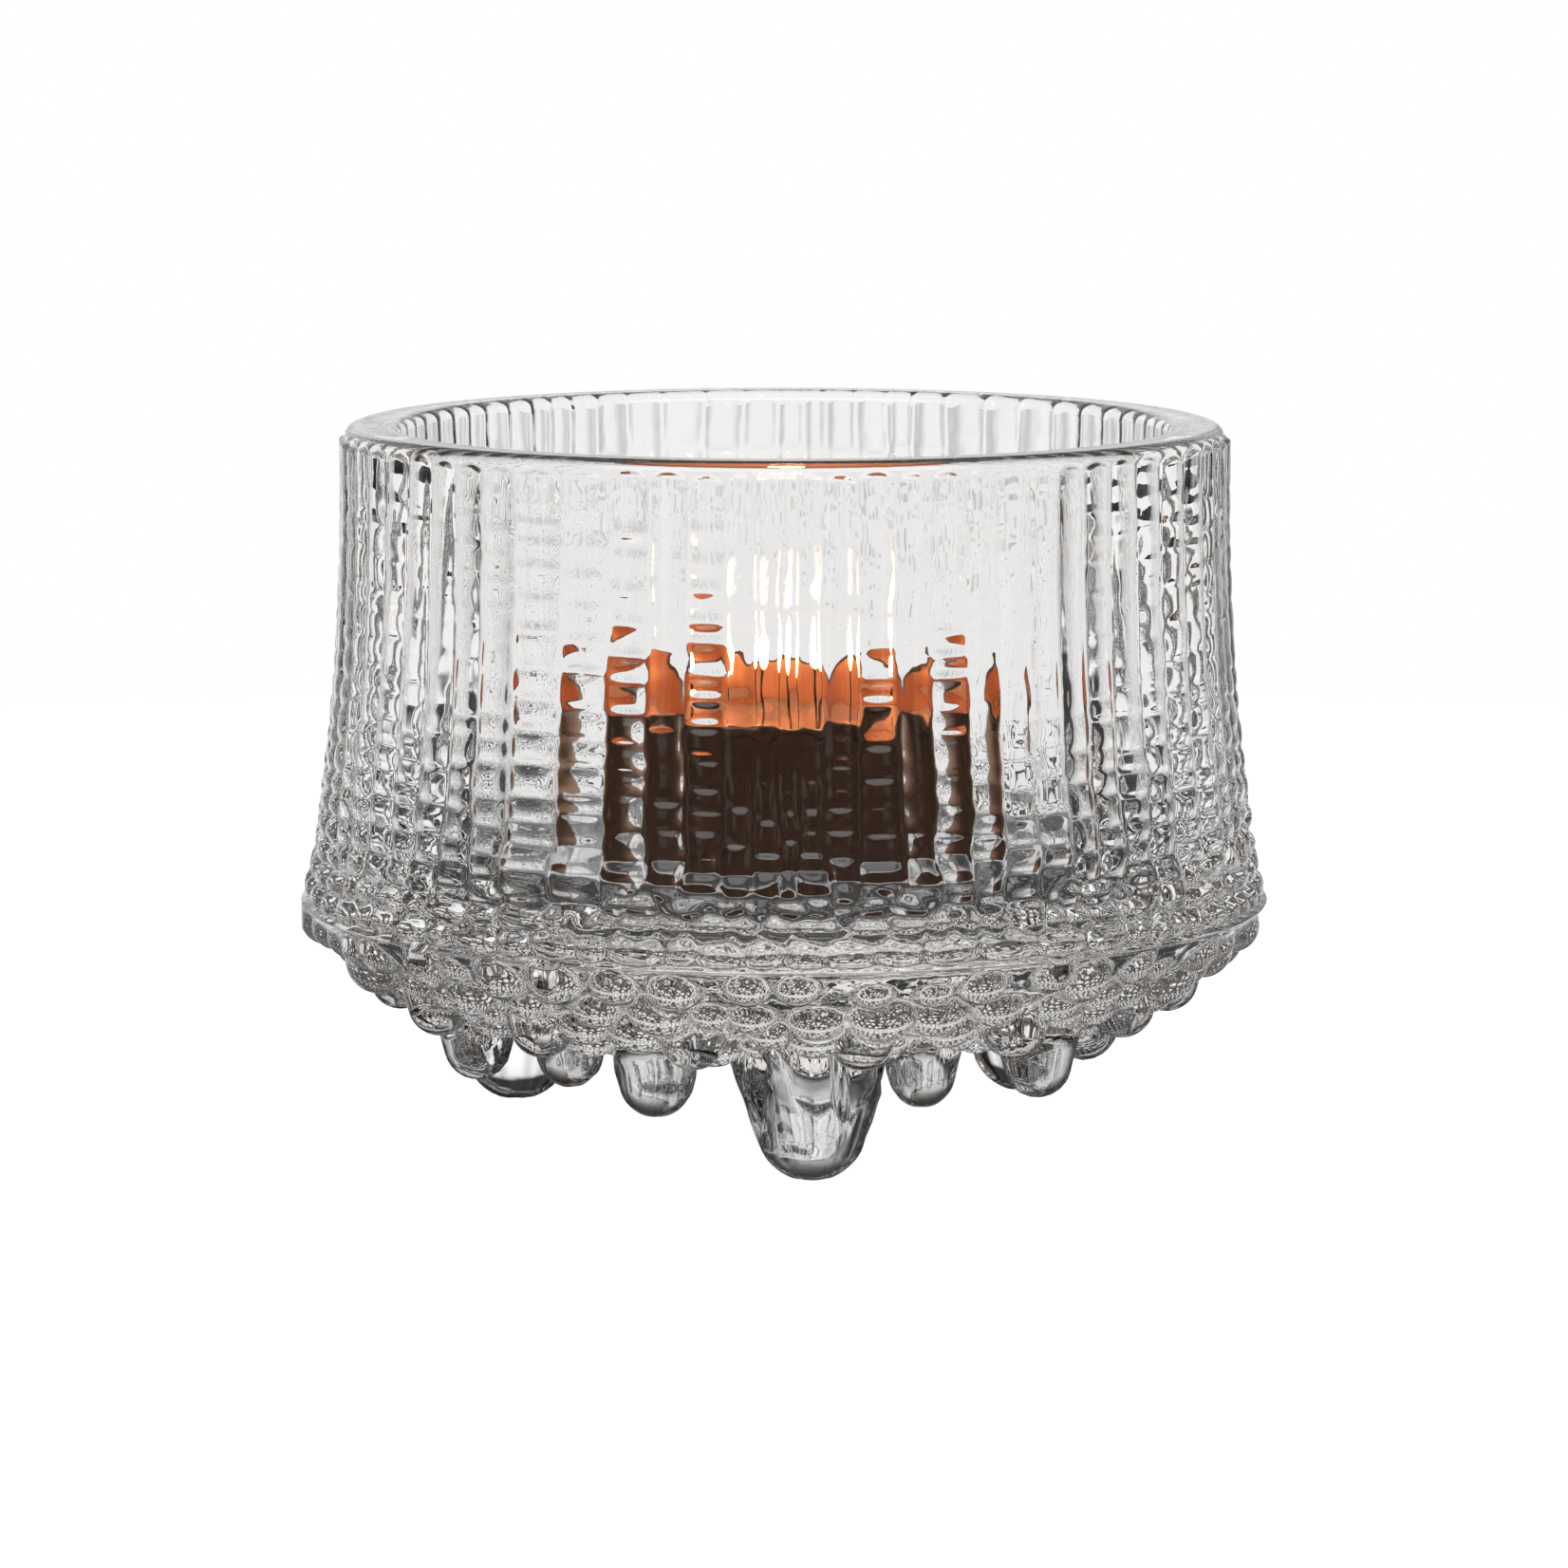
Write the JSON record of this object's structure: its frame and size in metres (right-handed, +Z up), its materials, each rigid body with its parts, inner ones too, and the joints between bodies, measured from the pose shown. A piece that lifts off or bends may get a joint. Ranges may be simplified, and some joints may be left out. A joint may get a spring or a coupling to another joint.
{
  "type": "tealight holder",
  "caption": "Thick pressed-glass bowl on rounded icicle feet, ribbed and pebbled outside, smooth inside, with a lit tealight standing on its floor.",
  "frame": {"origin": "on the table, under the middle of the bowl", "axes": "+Z up through the middle of the bowl; -Y is the front, where the first foot stands a little to the +X side"},
  "size_m": [0.0894, 0.0894, 0.065],
  "materials": {
    "clear_glass": "clear pressed glass, fire-polished, ribbed and pebbled outside and smooth inside",
    "cup_aluminium": "thin deep-drawn aluminium with a dark copper-brown lacquer, faint drawing lines up the wall",
    "candle_wax": "cream paraffin wax, satin, with a clear molten pool round the wick",
    "tinplate": "thin stamped tinplate",
    "cotton_wick": "braided cotton, charred at the top"
  },
  "bodies": {
    "holder": {"glass_holder": "clear_glass"},
    "tealight": {"tealight_cup": "cup_aluminium"},
    "candle": {"wax": "candle_wax", "wick_sustainer": "tinplate", "wick": "cotton_wick"}
  },
  "joints": [
    {"name": "tealight_lift", "type": "slide", "parent": "holder", "child": "tealight", "axis": [0, 0, 1], "range_m": [0, 0.045]},
    {"name": "candle_lift", "type": "slide", "parent": "tealight", "child": "candle", "axis": [0, 0, 1], "range_m": [0, 0.018]}
  ]
}
